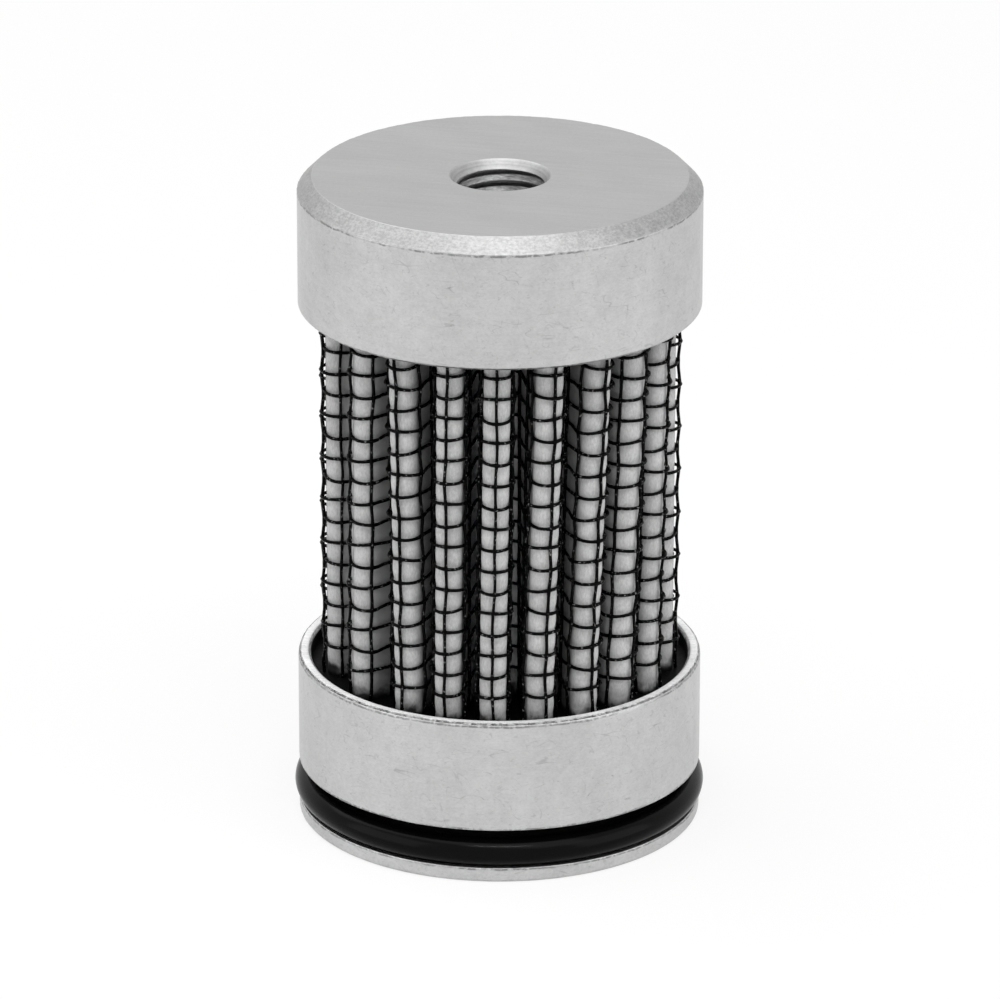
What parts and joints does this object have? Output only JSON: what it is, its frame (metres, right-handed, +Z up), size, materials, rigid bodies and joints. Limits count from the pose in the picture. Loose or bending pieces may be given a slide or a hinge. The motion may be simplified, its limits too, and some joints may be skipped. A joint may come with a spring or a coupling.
{
  "type": "hydraulic filter element",
  "caption": "Pleated filter element with turned end caps, an outer wire mesh over white pleats, a tapped lifting hole on top and an O-ring groove at the foot.",
  "frame": {"origin": "middle of the foot, on the surface that the element stands on", "axes": "+Z up along the element's own axis, towards the tapped hole; -Y faces the front"},
  "size_m": [0.0511, 0.051, 0.083],
  "materials": {
    "cap_aluminium": "turned, satin, lightly scratched",
    "seal_rubber": "smooth black, slight sheen",
    "core_steel": "plain perforated sheet",
    "adhesive": "set resin",
    "media_fleece": "matt white fleece",
    "drainage_fleece": "matt open fleece",
    "mesh_wire": "black coated wire"
  },
  "bodies": {
    "root": {"bottom_end_cap": "cap_aluminium", "core_tube": "core_steel", "drainage_layer": "drainage_fleece", "filter_media": "media_fleece", "lower_adhesive": "adhesive", "o_ring": "seal_rubber", "top_end_cap": "cap_aluminium", "upper_adhesive": "adhesive", "warp_wires": "mesh_wire", "weft_wire_01": "mesh_wire", "weft_wire_02": "mesh_wire", "weft_wire_03": "mesh_wire", "weft_wire_04": "mesh_wire", "weft_wire_05": "mesh_wire", "weft_wire_06": "mesh_wire", "weft_wire_07": "mesh_wire", "weft_wire_08": "mesh_wire", "weft_wire_09": "mesh_wire", "weft_wire_10": "mesh_wire", "weft_wire_11": "mesh_wire", "weft_wire_12": "mesh_wire", "weft_wire_13": "mesh_wire", "weft_wire_14": "mesh_wire", "weft_wire_15": "mesh_wire", "weft_wire_16": "mesh_wire"}
  },
  "joints": []
}
